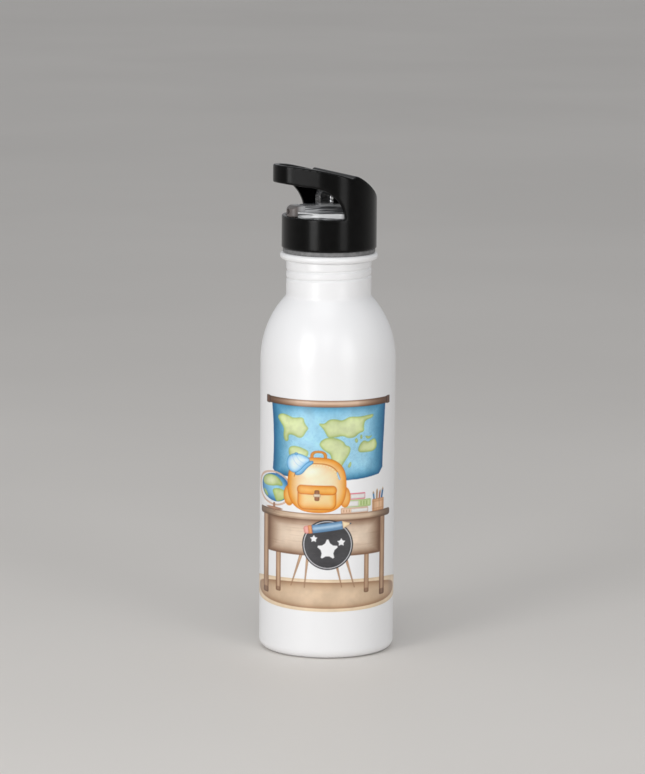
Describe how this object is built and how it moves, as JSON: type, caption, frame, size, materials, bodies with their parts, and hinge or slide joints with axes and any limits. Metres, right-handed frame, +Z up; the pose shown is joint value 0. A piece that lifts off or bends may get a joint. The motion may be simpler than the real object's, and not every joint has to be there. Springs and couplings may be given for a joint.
{
  "type": "kids water bottle",
  "caption": "Single-wall metal drinking bottle with a screw lid, a flip-up spout with straw, and a finger loop over the spout.",
  "frame": {"origin": "centre of the base, in the plane that the bottle stands on", "axes": "+Z up along the bottle, -X towards the finger loop, Y along the spout's hinge"},
  "size_m": [0.073, 0.073, 0.2642],
  "materials": {
    "white_coat": "gloss white coat with a printed picture",
    "bare_steel": "brushed",
    "grey_silicone": "satin",
    "black_plastic": "satin moulded",
    "plug_plastic": "satin moulded",
    "clear_plastic": "clear polished",
    "pale_silicone": "translucent satin",
    "straw_plastic": "clear",
    "smoky_silicone": "soft smoky"
  },
  "bodies": {
    "bottle": {"bottle_shell": "white_coat", "base_pan": "bare_steel"},
    "seal": {"neck_gasket": "grey_silicone"},
    "lid": {"lid_cap": "black_plastic", "threaded_plug": "plug_plastic", "spout_cradle": "clear_plastic", "spout_seat": "pale_silicone", "vent_valve": "pale_silicone", "straw_socket": "pale_silicone", "straw": "straw_plastic"},
    "mouthpiece": {"mouthpiece": "clear_plastic", "bite_tip": "smoky_silicone"}
  },
  "joints": [
    {"name": "lid_lift", "type": "slide", "parent": "bottle", "child": "seal", "axis": [0, 0, 1], "range_m": [0, 0.00645]},
    {"name": "lid_turn", "type": "hinge", "parent": "seal", "child": "lid", "pos_m": [0, 0, 0.22], "axis": [0, 0, 1], "range_deg": [0, 540]},
    {"name": "mouthpiece_flip", "type": "hinge", "parent": "lid", "child": "mouthpiece", "pos_m": [0.003, 0, 0.237], "axis": [0, 1, 0], "range_deg": [0, 66]}
  ],
  "couplings": [
    {"joint": "lid_turn", "follows": "lid_lift", "rad_per_m": 1461.2}
  ]
}
